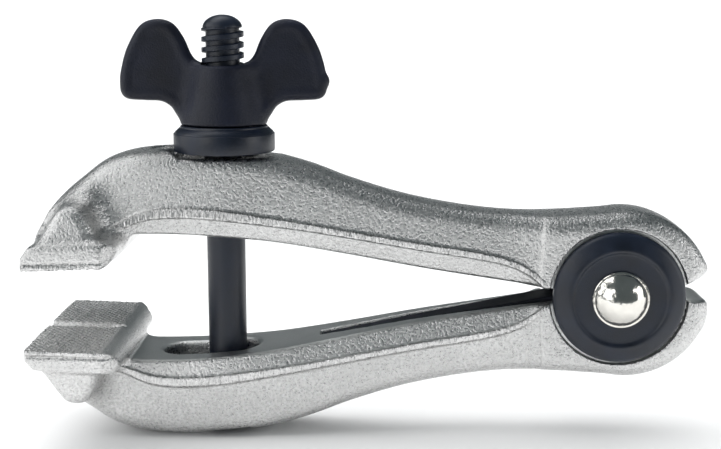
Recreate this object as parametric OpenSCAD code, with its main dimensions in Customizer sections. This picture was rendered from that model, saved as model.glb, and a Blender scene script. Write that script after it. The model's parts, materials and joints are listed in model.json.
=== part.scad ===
// Hand vice: two forged arms hinged at the back on a riveted pin under two cup
// discs, opened by a hairpin leaf spring and closed by a wing nut on a swinging
// screw. Millimetres. The working frame has its origin on the hinge axis, with
// the jaws towards -X, the hinge axis along Y and the upper arm towards +Z.
// Each arm is drawn closed, below the plane z = 0, and then swung open.

/* [Overall] */
// Distance from the hinge axis to the tips of the jaws
reach = 110.3; // [100:0.1:135]
// Width of the jaws
jaw_w = 40; // [32:0.5:50]
// Angle between the arms as drawn, counted from tips touching
open_deg = 7.3; // [2:0.1:14]

/* [Jaws] */
// Length of a gripping face
jaw_len = 14.6; // [12:0.1:18]
// Thickness of the jaw plate at its front
jaw_t = 4.2; // [3:0.1:6]
// Slope of a gripping face when the tips touch
jaw_face_deg = 5.8; // [3:0.1:9]
// Height of the rib that stiffens the jaw plate
rib_h = 7.2; // [5:0.1:9]
// Length of that rib along the arm
rib_len = 10.4; // [8:0.1:12]
// Width of the groove along each gripping face
groove_w = 4; // [2:0.1:6]
// Depth of that groove
groove_d = 1.7; // [0.8:0.1:2.5]

/* [Arms] */
// Depth of the hollow between an arm and the closing plane
throat_d = 6.8; // [4:0.1:10]
// Depth of an arm's back from the closing plane, at the screw
back_d = 22.7; // [19:0.1:28]
// Depth of an arm's back at its thinnest place, in front of the hinge
waist_d = 14.1; // [12:0.1:17]
// Width of an arm at the screw
arm_w = 19; // [16:0.1:24]
// Width of an arm at its waist
waist_w = 14.4; // [13.5:0.1:18]
// Width of the hinge end of an arm
knuckle_w = 13; // [10.8:0.1:16]
// Radius of the hinge end of an arm
knuckle_r = 16.3; // [14.5:0.1:20]
// How far that round stands back from the hinge axis
knuckle_back = 1.8; // [0:0.1:3]

/* [Hinge] */
// Diameter of the rivet's shank
pin_d = 8; // [6:0.1:10]
// Diameter of the rivet's domed heads
dome_d = 10.2; // [8.8:0.1:13]
// Height of the rivet's domed heads
dome_h = 3; // [2:0.1:4]
// Height of the straight collar under each dome
collar_h = 0.5; // [0.3:0.1:1]
// Diameter of the cup discs
cap_d = 25; // [22:0.1:30]
// Height of the cup discs
cap_h = 3; // [2.4:0.1:4]
// Thickness of a cup disc's face
cap_face_t = 1.3; // [1:0.1:2]
// Width of a cup disc's rim
cap_rim_w = 2.7; // [2:0.1:4]
// Width of the soft bevel on a cup disc
cap_bevel_w = 2.2; // [1:0.1:3]
// Height of that bevel
cap_bevel_h = 0.8; // [0.4:0.1:1.2]
// Running clearance of the half-round bosses in the cups and around the pin
hinge_gap = 0.05; // [0.02:0.01:0.1]

/* [Spring] */
// Thickness of the leaf at the hinge
leaf_t = 1.2; // [0.8:0.05:1.4]
// Thickness of the leaf at its tips
leaf_tip_t = 0.9; // [0.6:0.05:1.2]
// Width of the leaf at the hinge
leaf_w = 7.8; // [5:0.1:8]
// Width of the leaf at its tips
leaf_tip_w = 3; // [2:0.1:5]
// Distance from the hinge axis to the tips of the leaf
leaf_reach = 57; // [40:0.5:60]
// Room left around the leaf
leaf_gap = 0.2; // [0.1:0.05:0.4]

/* [Screw] */
// Distance from the hinge axis to the screw
screw_x = 75; // [70:0.1:92]
// Outer diameter of the thread
thread_d = 8; // [6:0.1:10]
// Pitch of the thread
thread_pitch = 2; // [1.25:0.05:2.5]
// Depth of the thread
thread_depth = 0.8; // [0.5:0.05:1]
// Diameter of the plain shank
shank_d = 7.4; // [5.5:0.1:8]
// Length of thread that shows below the wing nut when the vice is closed on nothing
thread_below = 12; // [9:0.5:16]
// Length of screw that stands out above the wing nut
stick_out = 9.4; // [6:0.1:14]
// Diameter of the cross head that pivots in the lower arm
head_d = 9; // [7.5:0.1:11]
// Length of the cross head
head_len = 12.6; // [10:0.1:15.5]
// How deep the cross head sits inside the lower arm's back
head_sink = 2.2; // [1:0.1:3]
// Side clearance of the screw in the slots of the arms
slot_gap = 0.3; // [0.2:0.05:0.6]
// Distance that the slots run forwards of the screw
slot_front = 12.4; // [6:0.1:14]
// Distance that the slots run backwards of the screw
slot_rear = 6.2; // [5.8:0.1:9]

/* [Seat ring and wing nut] */
// Diameter of the seat ring
ring_d = 19.3; // [16:0.1:22]
// Height of the seat ring
ring_h = 5.6; // [4:0.1:8]
// Radius of the rounded underside of the ring
ring_sole_r = 80; // [50:1:120]
// Width and height of the chamfer on top of the ring
ring_chamfer = 1.3; // [0.5:0.1:2]
// Depth of the seat cut into the upper arm's back
seat_d = 1.9; // [1:0.1:3]
// Room left in the seat around the ring
seat_room = 0.85; // [0.5:0.05:1.5]
// How far the seat runs on in front of the ring
seat_front = 4.5; // [2:0.1:6]
// How far the seat runs on behind the ring
seat_rear = 1.2; // [0.5:0.1:2]
// Gap between the ring and its seat, which lets the ring rock
seat_gap = 0.25; // [0.2:0.05:0.4]
// Radial clearance of the ring and the nut on the thread
thread_gap = 0.08; // [0.03:0.01:0.1]
// Span of the wing nut
wing_span = 39.6; // [32:0.1:48]
// Height of the wing nut
wing_h = 20; // [16:0.1:24]
// Thickness of the wings
wing_t = 3.4; // [2.5:0.1:5]
// Diameter of the wing nut's base
hub_d = 15.6; // [12.5:0.1:17]
// Diameter of the hub's top
hub_top_d = 10.9; // [9.8:0.1:13]
// Height of the hub
hub_h = 11.4; // [8:0.1:14]

/* [Hidden] */
$fn = 64;
eps = 0.01;
half_deg = open_deg / 2;
close_gap = 0.06;      // gap between the closed hinge ends
heel_out = 2.4;        // how far the jaw's rounded heel stands out behind its face
heel_drop = 3.4;       // how far below the face the heel stands out most
lower_tail_deg = 7.6;  // relief behind the hinge, which lets the jaws open wide
upper_tail_deg = 35;   // steeper cut at the end of the upper arm's tail
upper_tail_x = 9.5;    // where that steeper cut begins
chin = 1.8;            // height of the bevel under the jaw's front edge

forged = [0.74, 0.75, 0.76];
blacked = [0.10, 0.11, 0.14];
polished = [0.82, 0.81, 0.78];

// Points of a cubic curve, without its last point
function curve(a, b, c, d, n = 10) =
    [for (i = [0 : n - 1]) let (t = i / n, u = 1 - t)
        u * u * u * a + 3 * u * u * t * b + 3 * u * t * t * c + t * t * t * d];

// Points of a circular arc in degrees, with both ends
function arc(c, r, from, to, n = 20) =
    [for (i = [0 : n]) let (w = from + (to - from) * i / n) c + r * [cos(w), sin(w)]];

function mirrored(points) = [for (i = [len(points) - 1 : -1 : 0]) [points[i][0], -points[i][1]]];
function swung(p, deg) = [p[0] * cos(deg) + p[1] * sin(deg), p[1] * cos(deg) - p[0] * sin(deg)];

// Corners of the jaw, in the closed arm's side view
jaw_rear = [-reach + jaw_len * cos(jaw_face_deg), -jaw_len * sin(jaw_face_deg)];
jaw_heel = [jaw_rear[0] + heel_out, jaw_rear[1] - heel_drop];
jaw_root = [jaw_rear[0] + 1.8, -throat_d + 0.6];
rib_front = -reach + 2.5;
rib_rear = rib_front + rib_len;
rib_z = -jaw_t - rib_h;

// Stations along the back of the arm
waist = [-24, -waist_d];
back_rear = [-(screw_x - 13), -(back_d - 1.4)];
back_low = [-(screw_x + 5), -back_d];
brow = [-reach + 6.9, rib_z - 3.2];
brow_run = brow[0] - back_low[0];
knuckle_c = [knuckle_back, 0];
knuckle_end = arc(knuckle_c, knuckle_r, -10, -110)[20];

// Side view of a closed arm, from the jaw tip over the inner face and round the back
arm_side = concat(
    [[-reach, 0]],
    curve(jaw_rear, jaw_rear + [2, -0.2], jaw_heel + [0, 1.6], jaw_heel, 6),
    curve(jaw_heel, jaw_heel + [-0.2, -1.4], jaw_root + [0.2, 0.3], [jaw_root[0] + 3.2, -throat_d + 0.1], 4),
    curve([jaw_root[0] + 4.4, -throat_d + 0.05], [-(screw_x - 3), -throat_d - 0.8],
          [-(screw_x - 21), -throat_d * 0.65], [-26, -1.7], 14),
    [[-26, -1.7], [-8, -close_gap / 2]],
    arc(knuckle_c, knuckle_r, 0, -110, 22),
    curve(knuckle_end, knuckle_end + [-5.2, 1.4], waist + [8, 0.2], waist, 5),
    curve(waist, waist + [-14, -0.4], back_rear + [15, 4.8], back_rear, 10),
    curve(back_rear, back_rear + [-4, -1.3], back_low + [8, 0], back_low, 5),
    curve(back_low, back_low + [brow_run * 0.51, 0], brow + [-brow_run * 0.21, -5.9], brow, 10),
    curve(brow, brow + [-2.6, 3.1], [-reach + 2.4, rib_z + 2.9], [-reach + 1.7, -jaw_t], 5),
    [[-reach + 1.7, -jaw_t], [-reach, -jaw_t + chin]]);

// Side view of the full-width jaw: the plate with the rounded rib under it
jaw_side = concat(
    [[-reach, 0]],
    curve(jaw_rear, jaw_rear + [2, -0.2], jaw_heel + [0, 1.6], jaw_heel, 6),
    [jaw_heel, [rib_rear + 0.8, -jaw_t - 1.9]],
    curve([rib_rear, -jaw_t - 2.2], [rib_rear - 1, rib_z + 0.6], [rib_rear - 2.4, rib_z],
          [rib_rear - 4.6, rib_z], 6),
    curve([rib_rear - 4.6, rib_z], [rib_rear - 7, rib_z], [rib_front + 1.6, rib_z + 1.6],
          [rib_front, -jaw_t - 0.4], 6),
    [[-reach + 1.7, -jaw_t], [-reach, -jaw_t + chin]]);

// Plan view of an arm behind its jaw
arm_plan = let (s = [[-reach, arm_w * 0.47], [-screw_x - 8, arm_w / 2], [-screw_x + 6, arm_w / 2],
                     [waist[0], waist_w / 2], [-cap_d / 2 - 1.5, knuckle_w / 2],
                     [knuckle_r + knuckle_back + 1, knuckle_w / 2]])
    concat(s, mirrored(s));

// Front view of the shoulders that carry the jaw
shoulder = let (s = [[jaw_w / 2, 0], [jaw_w / 2, -jaw_t], [jaw_w * 0.36, rib_z],
                     [arm_w * 0.47, -back_d + 4], [arm_w * 0.42, -back_d]])
    concat(s, [for (i = [len(s) - 1 : -1 : 0]) [-s[i][0], s[i][1]]]);

// The opened lower arm's side view gives the extent of the whole vice
open_side = [for (p = arm_side) swung(p, -half_deg)];
low_z = min([for (p = open_side) p[1]]);
low_x = min([for (p = open_side) p[0]]);
high_x = max([for (p = open_side) p[0]]);
back_z = -low_z;

// Heights on the screw, from the hinge axis
head_z = -back_z + head_sink + head_d / 2;
seat_z = back_z - seat_d;
ring_z = seat_z + seat_gap;
nut_z = ring_z + ring_h;
thread_z = nut_z - thread_below;
screw_top_z = nut_z + hub_h + stick_out;
tip_h = 2.4;           // height of the screw's domed end
bore_d = thread_d + 2 * thread_gap;

// Hinge sizes across the vice
side_y = knuckle_w / 2;
cap_y = side_y + hinge_gap;
cup_r = cap_d / 2 - cap_rim_w;
boss_r = cup_r - hinge_gap;
boss_h = cap_h - cap_face_t - hinge_gap;
loop_r = pin_d / 2 + leaf_gap + leaf_t / 2;
loop_pocket_r = loop_r + leaf_t / 2 + 2 * leaf_gap;

// The leaf's top edge in the closed arm's frame falls away along a straight line
leaf_start_x = 9.5;    // distance from the hinge axis to the start of that line
leaf_top_z = 0.55;     // its height there
leaf_fall = 0.1305;    // its fall for each millimetre

module placed() {
    translate([-(low_x + high_x) / 2, 0, -low_z]) children();
}

module across(w) {
    rotate([90, 0, 0]) linear_extrude(w, center = true) children();
}

// Forged blank of an arm in the closed position, with a half-round boss on each side
module arm_blank(tail_deg, tail_x) {
    difference() {
        union() {
            intersection() {
                across(jaw_w) polygon(arm_side);
                translate([0, 0, -back_d - 5]) linear_extrude(back_d + 10) polygon(arm_plan);
            }
            intersection() {
                across(jaw_w) polygon(arm_side);
                translate([-reach - 1, 0, 0]) rotate([90, 0, 90])
                    linear_extrude(rib_rear + reach + 0.4) polygon(shoulder);
            }
            across(jaw_w) polygon(jaw_side);
            across(2 * (side_y + boss_h)) intersection() {
                circle(boss_r);
                translate([-boss_r, -boss_r - close_gap / 2]) square([2 * boss_r, boss_r]);
            }
        }
        across(jaw_w) tail_cut(lower_tail_deg);
        across(jaw_w) translate([tail_x, -tail_x * tan(lower_tail_deg)]) tail_cut(tail_deg);
        across(jaw_w) circle(pin_d / 2 + hinge_gap);
        across(leaf_w + 2 * leaf_gap) circle(loop_pocket_r);
        jaw_groove();
        leaf_groove();
    }
}

// Wedge above a line that falls away behind the hinge
module tail_cut(deg, size = 40) {
    polygon([[0, 0], [size, -size * tan(deg)], [size, size], [0, size]]);
}

// V-groove along the middle of a gripping face
module jaw_groove() {
    translate([-reach, 0, 0]) rotate([0, jaw_face_deg, 0]) translate([-5, 0, 0])
        rotate([90, 0, 90]) linear_extrude(jaw_len + 12)
            polygon([[0, -groove_d], [groove_w, groove_d], [-groove_w, groove_d]]);
}

// Outline of the leaf in plan, with room r around it
function leaf_plan(r) = let (
        s = [[-leaf_reach - r, leaf_tip_w / 2 + r], [-leaf_start_x - 2, leaf_w / 2 + r],
             [loop_pocket_r + r, leaf_w / 2 + r]])
    concat(s, mirrored(s));

// Groove for one leg of the spring in an arm's inner face
module leaf_groove() {
    intersection() {
        across(leaf_w + 4) polygon([
            [-loop_r, 3], [-leaf_reach - leaf_gap, 3],
            [-leaf_reach - leaf_gap, leg_z(-leaf_reach) - leaf_tip_t - leaf_gap],
            [-leaf_start_x, leg_z(-leaf_start_x) - leaf_t - leaf_gap - 0.5],
            [-loop_r, -loop_r * 0.75]]);
        translate([0, 0, -20]) linear_extrude(40) polygon(leaf_plan(leaf_gap));
    }
}

function leg_z(x) = leaf_top_z + (x + leaf_start_x) * leaf_fall;

// Slot for the screw, square to the closing plane of the opened vice
module screw_slot(z0, z1) {
    r = thread_d / 2 + slot_gap;
    translate([-screw_x - slot_front + r, 0, z0]) cylinder(h = z1 - z0, r = r);
    translate([-screw_x + slot_rear - r, 0, z0]) cylinder(h = z1 - z0, r = r);
    translate([-screw_x - slot_front + r, -r, z0])
        cube([slot_front + slot_rear - 2 * r, 2 * r, z1 - z0]);
}

module lower_arm() {
    color(forged) placed() difference() {
        rotate([0, -half_deg, 0]) arm_blank(lower_tail_deg, upper_tail_x);
        screw_slot(head_z, 0);
        head_trough();
    }
}

// Half-round trough for the cross head, open towards the arm's back
module head_trough() {
    r = head_d / 2 + hinge_gap;
    w = head_len + 2 * slot_gap;
    translate([-screw_x, 0, head_z]) {
        across(w) circle(r);
        across(w) translate([-r, -head_d - head_sink]) square([2 * r, head_d + head_sink]);
    }
}

module upper_arm() {
    color(forged) placed() difference() {
        mirror([0, 0, 1]) rotate([0, -half_deg, 0]) arm_blank(upper_tail_deg, upper_tail_x);
        screw_slot(0, back_z + 2);
        ring_seat();
    }
}

// Flat oblong seat for the ring in the upper arm's back
module ring_seat() {
    r = ring_d / 2 + seat_room;
    h = back_d;
    translate([-screw_x - seat_front, 0, seat_z]) cylinder(h = h, r = r);
    translate([-screw_x + seat_rear, 0, seat_z]) cylinder(h = h, r = r);
    translate([-screw_x - seat_front, -r, seat_z]) cube([seat_front + seat_rear, 2 * r, h]);
}

// Centre line of the leaf, from the upper tip round the loop to the lower tip
function leg_point(x, t) = swung([x, leg_z(x) - t / 2], -half_deg);
loop_end_deg = -142;
loop_exit = loop_r * [cos(loop_end_deg), sin(loop_end_deg)];
leg_start = leg_point(-leaf_start_x, leaf_t);
leg_tip = leg_point(-leaf_reach, leaf_tip_t);
half_line = concat(
    arc([0, 0], loop_r, loop_end_deg / 24, loop_end_deg * 23 / 24, 22),
    curve(loop_exit, loop_exit + [-1.1, 1.4], leg_start + [2.6, -0.1], leg_start, 6),
    [for (i = [0 : 8]) leg_start + (leg_tip - leg_start) * i / 8]);
leaf_line = concat(mirrored(half_line), half_line);
leaf_n = len(leaf_line);

// One side of the leaf: the centre line moved half a thickness along its normal
function leaf_side(i, s) = let (
        d = leaf_line[min(i + 1, leaf_n - 1)] - leaf_line[max(i - 1, 0)],
        far = max(0, -leaf_line[i][0] - leaf_start_x) / (leaf_reach - leaf_start_x),
        t = leaf_t + (leaf_tip_t - leaf_t) * far)
    leaf_line[i] + s * t / 2 * [-d[1], d[0]] / norm(d);

module leaf_spring() {
    color(blacked) placed() intersection() {
        across(leaf_w) polygon(concat(
            [for (i = [0 : leaf_n - 1]) leaf_side(i, 1)],
            [for (i = [leaf_n - 1 : -1 : 0]) leaf_side(i, -1)]));
        translate([0, 0, -20]) linear_extrude(40) polygon(leaf_plan(0));
    }
}

// Domed head of the rivet on one side of the vice
module rivet_head() {
    base_y = cap_y + cap_h;
    ball_r = (dome_d * dome_d / 4 + (dome_h - collar_h) * (dome_h - collar_h)) / (2 * (dome_h - collar_h));
    rotate([-90, 0, 0]) translate([0, 0, base_y]) rotate_extrude() polygon(concat(
        [[0, -1], [pin_d / 2, -1], [pin_d / 2, 0], [dome_d / 2, 0]],
        [for (i = [0 : 12]) let (w = asin(dome_d / 2 / ball_r) * (1 - i / 12))
            [ball_r * sin(w), collar_h + ball_r * cos(w) - ball_r + dome_h - collar_h]]));
}

module pivot_rivet() {
    color(polished) placed() {
        across(2 * (cap_y + cap_h) - 1) circle(pin_d / 2);
        rivet_head();
        mirror([0, 1, 0]) rivet_head();
    }
}

// Cup disc: a face plate with a rim that holds both half-round bosses together
module cup_disc() {
    r = cap_d / 2;
    rotate([-90, 0, 0]) translate([0, 0, cap_y]) rotate_extrude() polygon([
        [pin_d / 2, cap_h - cap_face_t], [pin_d / 2, cap_h], [r - cap_bevel_w, cap_h],
        [r, cap_h - cap_bevel_h], [r, 0], [cup_r, 0], [cup_r, cap_h - cap_face_t]]);
}

module near_cap() {
    color(blacked) placed() mirror([0, 1, 0]) cup_disc();
}

module far_cap() {
    color(blacked) placed() cup_disc();
}

// Screw: cross head, plain shank, ridged thread and domed end
module clamp_screw() {
    root_r = thread_d / 2 - thread_depth;
    tip_r = root_r + thread_depth / 2;
    crest = thread_pitch * 0.4;
    ridges = floor((screw_top_z - tip_h - thread_z) / thread_pitch) - 1;
    color(blacked) placed() translate([-screw_x, 0, 0]) {
        translate([0, 0, head_z]) across(head_len) circle(head_d / 2);
        translate([0, 0, head_z]) cylinder(h = thread_z - head_z, d = shank_d);
        translate([0, 0, thread_z]) cylinder(h = screw_top_z - tip_h - thread_z, r = root_r);
        for (i = [0 : ridges])
            translate([0, 0, thread_z + i * thread_pitch]) cylinder(h = crest, d = thread_d);
        translate([0, 0, screw_top_z - tip_h]) rotate_extrude() polygon(concat(
            [[0, -eps], [tip_r, -eps]],
            [for (i = [0 : 8]) let (w = 90 * i / 8) [tip_r * cos(w), tip_h * sin(w)]]));
    }
}

// Seat ring with a gently rounded sole
module seat_ring() {
    r = ring_d / 2;
    sole = [for (i = [0 : 8]) let (x = bore_d / 2 + (r - bore_d / 2) * i / 8)
        [x, ring_sole_r - sqrt(ring_sole_r * ring_sole_r - x * x)]];
    color(blacked) placed() translate([-screw_x, 0, ring_z]) rotate_extrude() polygon(concat(
        sole, [[r, ring_h - ring_chamfer], [r - ring_chamfer, ring_h], [bore_d / 2, ring_h]]));
}

// One wing in side view, for positive x
function wing_side() = let (
        root = [hub_top_d / 2 - 2, hub_h - 3], dip = [hub_top_d / 2 - 0.4, hub_h],
        peak = [wing_span * 0.31, wing_h], edge = [wing_span / 2, wing_h * 0.4],
        toe = [wing_span * 0.46, wing_h * 0.235], arch = [wing_span * 0.285, wing_h * 0.225])
    concat([[2, 1.2], root],
        curve(dip, dip + [2, 4.6], peak + [-3.6, 0], peak, 8),
        curve(peak, peak + [4, 0], edge + [-0.2, 3.6], edge, 8),
        curve(edge, edge + [0.1, -1.7], toe + [1, 0], toe, 5),
        curve(toe, toe + [-3, 0], arch + [1.4, 0.2], arch, 4),
        curve(arch, arch + [-1.8, -0.3], [hub_d / 2 + 0.6, 2], [hub_d / 2 - 0.2, 0.9], 5),
        [[hub_d / 2 - 0.2, 0.9]]);

module wing_nut() {
    color(blacked) placed() translate([-screw_x, 0, nut_z]) difference() {
        union() {
            rotate_extrude() polygon([[0, 0], [hub_d / 2 - 0.5, 0], [hub_d / 2, 0.6],
                [hub_d / 2, 2], [hub_top_d / 2, hub_h], [0, hub_h]]);
            across(wing_t) polygon(wing_side());
            across(wing_t) mirror([1, 0]) polygon(wing_side());
        }
        translate([0, 0, -1]) cylinder(h = wing_h + 2, d = bore_d);
    }
}

lower_arm();
upper_arm();
leaf_spring();
pivot_rivet();
near_cap();
far_cap();
clamp_screw();
seat_ring();
wing_nut();
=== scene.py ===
"""A forged hand vice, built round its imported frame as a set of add-on operators.

Lengths inside the shape functions are millimetres in the closed arm's frame: the origin lies on
the hinge axis, the jaws point to -X, the hinge axis runs along Y, and the arm lies below z = 0.
The lower arm is that shape swung down by half the opening angle, and the upper arm is its mirror
image: swung() opens and mirrors its points. make_piece() carries points from the hinge axis into
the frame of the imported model, in metres.
"""

import json
import math

import bpy
import numpy as np
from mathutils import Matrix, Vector


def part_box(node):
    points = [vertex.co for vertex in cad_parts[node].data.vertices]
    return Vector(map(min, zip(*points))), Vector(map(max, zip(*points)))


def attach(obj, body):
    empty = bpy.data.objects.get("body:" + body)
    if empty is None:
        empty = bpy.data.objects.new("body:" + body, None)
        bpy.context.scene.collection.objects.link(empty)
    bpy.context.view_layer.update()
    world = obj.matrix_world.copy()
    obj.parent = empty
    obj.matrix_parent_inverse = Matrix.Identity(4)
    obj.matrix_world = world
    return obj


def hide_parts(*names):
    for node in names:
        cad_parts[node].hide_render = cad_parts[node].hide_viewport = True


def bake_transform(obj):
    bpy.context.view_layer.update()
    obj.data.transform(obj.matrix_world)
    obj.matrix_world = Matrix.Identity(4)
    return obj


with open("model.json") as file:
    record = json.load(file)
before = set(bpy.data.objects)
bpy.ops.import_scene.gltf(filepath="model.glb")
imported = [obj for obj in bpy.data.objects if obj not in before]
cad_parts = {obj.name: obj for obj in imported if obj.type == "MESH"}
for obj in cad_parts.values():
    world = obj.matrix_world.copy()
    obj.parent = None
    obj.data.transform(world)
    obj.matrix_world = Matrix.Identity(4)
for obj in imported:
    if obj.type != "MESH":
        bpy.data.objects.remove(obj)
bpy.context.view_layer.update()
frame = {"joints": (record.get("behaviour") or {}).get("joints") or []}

bl_info = {
    "name": "Hand vice",
    "version": (1, 0, 0),
    "blender": (4, 5, 0),
    "location": "View3D > Sidebar > Hand vice",
    "description": "Builds a forged hand vice with hinge, leaf spring, screw and wing nut",
    "category": "Add Mesh",
}

MM = 0.001
JOINTS = {joint["name"]: joint for joint in frame["joints"]}
PIVOT = np.array(JOINTS["jaw_open"]["pos_m"]) / MM
HEAD = np.array(JOINTS["screw_swing"]["pos_m"]) / MM - PIVOT


def node_box(node):
    """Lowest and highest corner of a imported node, in millimetres from the hinge axis."""
    low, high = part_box(node)
    return np.array(low) / MM - PIVOT, np.array(high) / MM - PIVOT


RING_LOW, RING_HIGH = node_box("seat_ring")
SCREW_LOW, SCREW_HIGH = node_box("clamp_screw")
CAP_LOW, CAP_HIGH = node_box("far_cap")
JAW_HALF = node_box("lower_arm")[1][1]
NUT_BASE = node_box("wing_nut")[0][2]
RIVET_TOP = node_box("pivot_rivet")[1][1]
HEAD_HALF = (SCREW_HIGH[1] - SCREW_LOW[1]) / 2
SCREW_X, HEAD_Z = HEAD[0], HEAD[2]
PIN_R = 4.05
BORE_R = 4.1


# ---- Settings ----

def length_property(name, description, value):
    """A length in metres, from a value in millimetres."""
    return bpy.props.FloatProperty(name=name, description=description, default=value * MM,
                                   min=0.0, unit="LENGTH", precision=5)


def colour_property(name, description, value):
    """A colour with three linear components."""
    return bpy.props.FloatVectorProperty(name=name, description=description, default=value,
                                         size=3, min=0.0, max=1.0, subtype="COLOR")


class ArmSettings(bpy.types.PropertyGroup):
    """Sizes of the two forged arms."""
    open_angle: bpy.props.FloatProperty(
        name="Opening angle", description="Angle between the arms, counted from tips touching",
        default=math.radians(7.3), subtype="ANGLE")
    knurl_pitch: length_property("Knurl pitch", "Distance between the cuts across a jaw face", 0.98)
    knurl_depth: length_property("Knurl depth", "Depth of the cuts across a jaw face", 0.3)
    groove_width: length_property("Groove width", "Width of the V-groove in a jaw face", 4.1)
    groove_depth: length_property("Groove depth", "Depth of the V-groove in a jaw face", 1.7)
    flash_out: length_property("Flash ledge", "How far the trimmed flash stands out", 0.42)
    side_draft: bpy.props.FloatProperty(
        name="Draft", description="Slope of the forged sides towards the arm's back",
        default=math.radians(6.5), subtype="ANGLE")
    cell: length_property("Cell", "Mesh size of the forged surfaces", 0.4)


class ScrewSettings(bpy.types.PropertyGroup):
    """Sizes of the screw."""
    thread_diameter: length_property("Thread", "Outer diameter of the thread", 8.0)
    thread_pitch: length_property("Pitch", "Distance between two turns of the thread", 2.0)
    thread_depth: length_property("Depth", "Depth of the thread", 0.8)
    shank_diameter: length_property("Shank", "Diameter of the plain shank", 7.4)


class FinishSettings(bpy.types.PropertyGroup):
    """Colours and surface detail."""
    nickel: colour_property("Nickel", "Colour of the plated forgings", (0.78, 0.775, 0.77))
    black: colour_property("Black oxide", "Colour of the blacked parts", (0.0042, 0.0076, 0.0165))
    casting: colour_property("Casting", "Colour of the wing nut", (0.0052, 0.0068, 0.0145))
    polish: colour_property("Polished steel", "Colour of the rivet", (0.80, 0.78, 0.73))
    grain: length_property("Grain", "Size of the blasted grain on the forgings", 0.42)


# ---- Shape tools ----

def soft_min(a, b, blend):
    """The smaller of two fields, rounded where they are closer than the blend width."""
    near = np.maximum(blend - np.abs(a - b), 0.0) / blend
    return np.minimum(a, b) - near * near * blend / 4


def soft_max(a, b, blend):
    """The larger of two fields, rounded in the same way."""
    return -soft_min(-a, -b, blend)


def ramp(value, low, high):
    """0 below low, 1 above high, and a smooth step between them."""
    share = np.clip((value - low) / (high - low), 0.0, 1.0)
    return share * share * (3 - 2 * share)


def through(points, spans=12):
    """A smooth line through points: a cubic between each two whose slope at a point follows its
    neighbours (Catmull-Rom)."""
    points = np.asarray(points, float)
    before = np.vstack([2 * points[0] - points[1], points[:-2], points[-2:-1]])[:len(points) - 1]
    after = np.vstack([points[2:], 2 * points[-1] - points[-2]])
    start, end = points[:-1], points[1:]
    t = (np.arange(spans) / spans)[None, :, None]
    a, b, c, d = (v[:, None, :] for v in (before, start, end, after))
    line = b + t * (c - a) / 2 + t * t * (a - 2.5 * b + 2 * c - d / 2)
    line = line + t ** 3 * (1.5 * (b - c) + (d - a) / 2)
    return np.vstack([line.reshape(-1, points.shape[1]), points[-1:]])


def arc(centre, radius, start, end, count=40):
    """Points of a circular arc between two angles in degrees."""
    angle = np.radians(np.linspace(start, end, count))
    return np.stack([centre[0] + radius * np.cos(angle), centre[1] + radius * np.sin(angle)], 1)


def curve_value(x, stations):
    """Height of a smooth line over x through (x, height) stations."""
    line = through(stations, 8)
    return np.interp(x, line[:, 0], line[:, 1])


class Outline:
    """A closed outline in a plane, as a table of signed distances, negative inside."""

    def __init__(self, points, step=0.3, margin=7.0):
        points = np.asarray(points, float)
        self.low = points.min(0) - margin
        self.step = step
        self.shape = np.ceil((points.max(0) + margin - self.low) / step).astype(int) + 1
        u = self.low[0] + step * np.arange(self.shape[0])[:, None]
        v = self.low[1] + step * np.arange(self.shape[1])[None, :]
        nearest = np.full(self.shape, np.inf)
        inside = np.zeros(self.shape, bool)
        for (au, av), (bu, bv) in zip(points, np.roll(points, -1, axis=0)):
            run = (bu - au) ** 2 + (bv - av) ** 2
            if run < 1e-12:
                continue
            t = np.clip(((u - au) * (bu - au) + (v - av) * (bv - av)) / run, 0.0, 1.0)
            gap = (u - au - t * (bu - au)) ** 2 + (v - av - t * (bv - av)) ** 2
            nearest = np.minimum(nearest, gap)
            if av != bv:
                inside ^= ((av > v) != (bv > v)) & (u < au + (v - av) / (bv - av) * (bu - au))
        self.table = np.where(inside, -1.0, 1.0) * np.sqrt(nearest)

    def __call__(self, u, v):
        """The distance at points, read from the table with straight interpolation."""
        cu = np.clip((u - self.low[0]) / self.step, 0, self.shape[0] - 1.001)
        cv = np.clip((v - self.low[1]) / self.step, 0, self.shape[1] - 1.001)
        iu, iv = cu.astype(int), cv.astype(int)
        fu, fv = cu - iu, cv - iv
        t = self.table
        return ((t[iu, iv] * (1 - fu) + t[iu + 1, iv] * fu) * (1 - fv)
                + (t[iu, iv + 1] * (1 - fu) + t[iu + 1, iv + 1] * fu) * fv)


# The corners of a grid cell, and the pairs of corners that an edge joins
CORNERS = np.array([(a, b, c) for a in (0, 1) for b in (0, 1) for c in (0, 1)])
EDGES = [(p, q) for p in range(8) for q in range(p + 1, 8)
         if np.abs(CORNERS[p] - CORNERS[q]).sum() == 1]


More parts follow.
